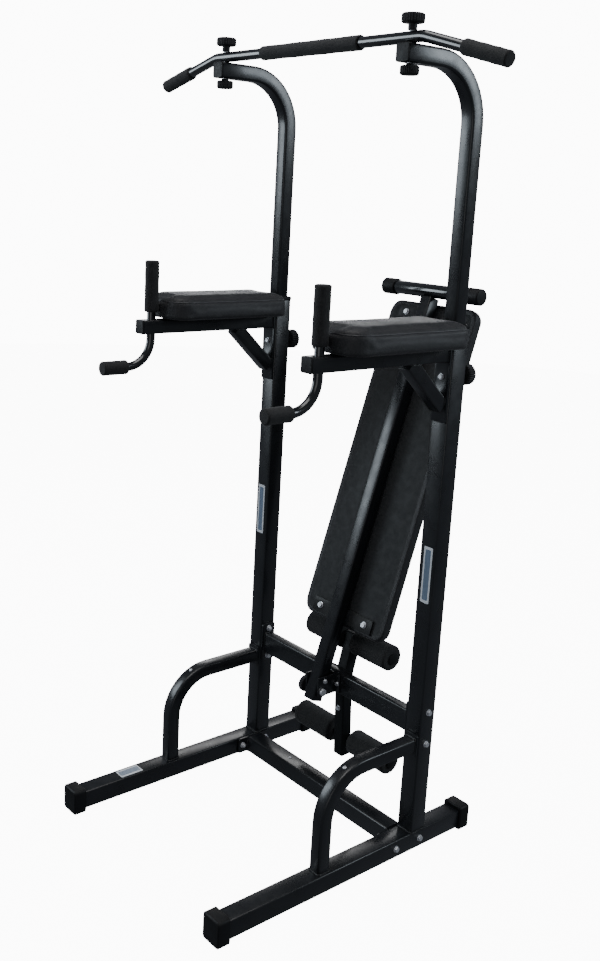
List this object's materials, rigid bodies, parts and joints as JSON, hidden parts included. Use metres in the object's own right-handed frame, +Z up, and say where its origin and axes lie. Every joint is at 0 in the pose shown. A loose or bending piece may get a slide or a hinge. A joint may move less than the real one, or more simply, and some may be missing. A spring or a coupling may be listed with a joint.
{
  "type": "power tower",
  "caption": "Freestanding gym tower with height-adjustable pull-up bar, dip armrests, fold-down sit-up bench and a leg-hook post with foam rollers.",
  "frame": {"origin": "centre of the bounding box at floor level, with the bench folded up and the bar at its lowest setting", "axes": "+Z up, -Y towards the front, where the armrests point, +X to the right for someone facing the front from outside"},
  "size_m": [1.1906, 0.9816, 2.0488],
  "materials": {
    "paint": "gloss black powder coat",
    "plastic": "matte",
    "foam": "matte closed-cell foam",
    "vinyl": "grained vinyl cover",
    "zinc": "zinc plated"
  },
  "bodies": {
    "base": {"armrest_frame_left": "paint", "armrest_frame_right": "paint", "armrest_pad_left": "vinyl", "armrest_pad_right": "vinyl", "armrest_plug_left": "plastic", "armrest_plug_right": "plastic", "base_crossbar": "paint", "bench_bracket": "paint", "dip_foam_left": "foam", "dip_foam_right": "foam", "foot_cap_back_left": "plastic", "foot_cap_back_right": "plastic", "foot_cap_front_left": "plastic", "foot_cap_front_right": "plastic", "foot_left": "paint", "foot_right": "paint", "grip_foam_left": "foam", "grip_foam_right": "foam", "handle_left": "paint", "handle_right": "paint", "handrail_left": "paint", "handrail_right": "paint", "hook_post": "paint", "hook_post_cap_low": "plastic", "hook_post_cap_top": "plastic", "mid_crossbar": "paint", "pivot_bolt": "zinc", "roller_axle_lower": "plastic", "roller_axle_upper": "plastic", "sleeve_left": "plastic", "sleeve_right": "plastic", "upright_left": "paint", "upright_right": "paint"},
    "upper_frame": {"bar_foam_centre": "foam", "bar_foam_left": "foam", "bar_foam_right": "foam", "clamp_stud_left": "zinc", "clamp_stud_right": "zinc", "gooseneck_left": "paint", "gooseneck_plug_left": "plastic", "gooseneck_plug_right": "plastic", "gooseneck_right": "paint", "pullup_bar": "paint"},
    "bench": {"bench_foot_bar": "paint", "bench_foot_cap_left": "plastic", "bench_foot_cap_right": "plastic", "bench_pad": "vinyl", "bench_tube": "paint"},
    "bench_knob": {"bench_knob": "plastic"},
    "clamp_knob_low_left": {"clamp_knob_low_left": "plastic"},
    "clamp_knob_low_right": {"clamp_knob_low_right": "plastic"},
    "clamp_knob_top_left": {"clamp_knob_top_left": "plastic"},
    "clamp_knob_top_right": {"clamp_knob_top_right": "plastic"},
    "height_knob_left": {"height_knob_left": "plastic"},
    "height_knob_right": {"height_knob_right": "plastic"},
    "roller_lower_left": {"roller_lower_left": "foam"},
    "roller_lower_right": {"roller_lower_right": "foam"},
    "roller_upper_left": {"roller_upper_left": "foam"},
    "roller_upper_right": {"roller_upper_right": "foam"}
  },
  "joints": [
    {"name": "upper_frame_height", "type": "slide", "parent": "base", "child": "upper_frame", "axis": [0, 0, 1], "range_m": [0, 0.15]},
    {"name": "bench_fold", "type": "hinge", "parent": "base", "child": "bench", "pos_m": [0, 0.09525, 0.34], "axis": [1, 0, 0], "range_deg": [0, 123.4]},
    {"name": "bench_knob_turn", "type": "hinge", "parent": "base", "child": "bench_knob", "pos_m": [-0.04, 0.09525, 0.34], "axis": [-1, 0, 0], "continuous": true},
    {"name": "height_knob_left_turn", "type": "hinge", "parent": "base", "child": "height_knob_left", "pos_m": [-0.325, 0.20925, 1.265], "axis": [0, 1, 0], "continuous": true},
    {"name": "clamp_knob_top_left_turn", "type": "hinge", "parent": "upper_frame", "child": "clamp_knob_top_left", "pos_m": [-0.325, -0.05075, 2.03], "axis": [0, 0, 1], "continuous": true},
    {"name": "clamp_knob_low_left_turn", "type": "hinge", "parent": "upper_frame", "child": "clamp_knob_low_left", "pos_m": [-0.325, -0.05075, 1.935], "axis": [0, 0, -1], "continuous": true},
    {"name": "height_knob_right_turn", "type": "hinge", "parent": "base", "child": "height_knob_right", "pos_m": [0.325, 0.20925, 1.265], "axis": [0, 1, 0], "continuous": true},
    {"name": "clamp_knob_top_right_turn", "type": "hinge", "parent": "upper_frame", "child": "clamp_knob_top_right", "pos_m": [0.325, -0.05075, 2.03], "axis": [0, 0, 1], "continuous": true},
    {"name": "clamp_knob_low_right_turn", "type": "hinge", "parent": "upper_frame", "child": "clamp_knob_low_right", "pos_m": [0.325, -0.05075, 1.935], "axis": [0, 0, -1], "continuous": true},
    {"name": "roller_upper_left_spin", "type": "hinge", "parent": "base", "child": "roller_upper_left", "pos_m": [-0.1, 0.22325, 0.457], "axis": [1, 0, 0], "continuous": true},
    {"name": "roller_upper_right_spin", "type": "hinge", "parent": "base", "child": "roller_upper_right", "pos_m": [0.1, 0.22325, 0.457], "axis": [1, 0, 0], "continuous": true},
    {"name": "roller_lower_left_spin", "type": "hinge", "parent": "base", "child": "roller_lower_left", "pos_m": [-0.1, 0.22125, 0.159], "axis": [1, 0, 0], "continuous": true},
    {"name": "roller_lower_right_spin", "type": "hinge", "parent": "base", "child": "roller_lower_right", "pos_m": [0.1, 0.22125, 0.159], "axis": [1, 0, 0], "continuous": true}
  ]
}
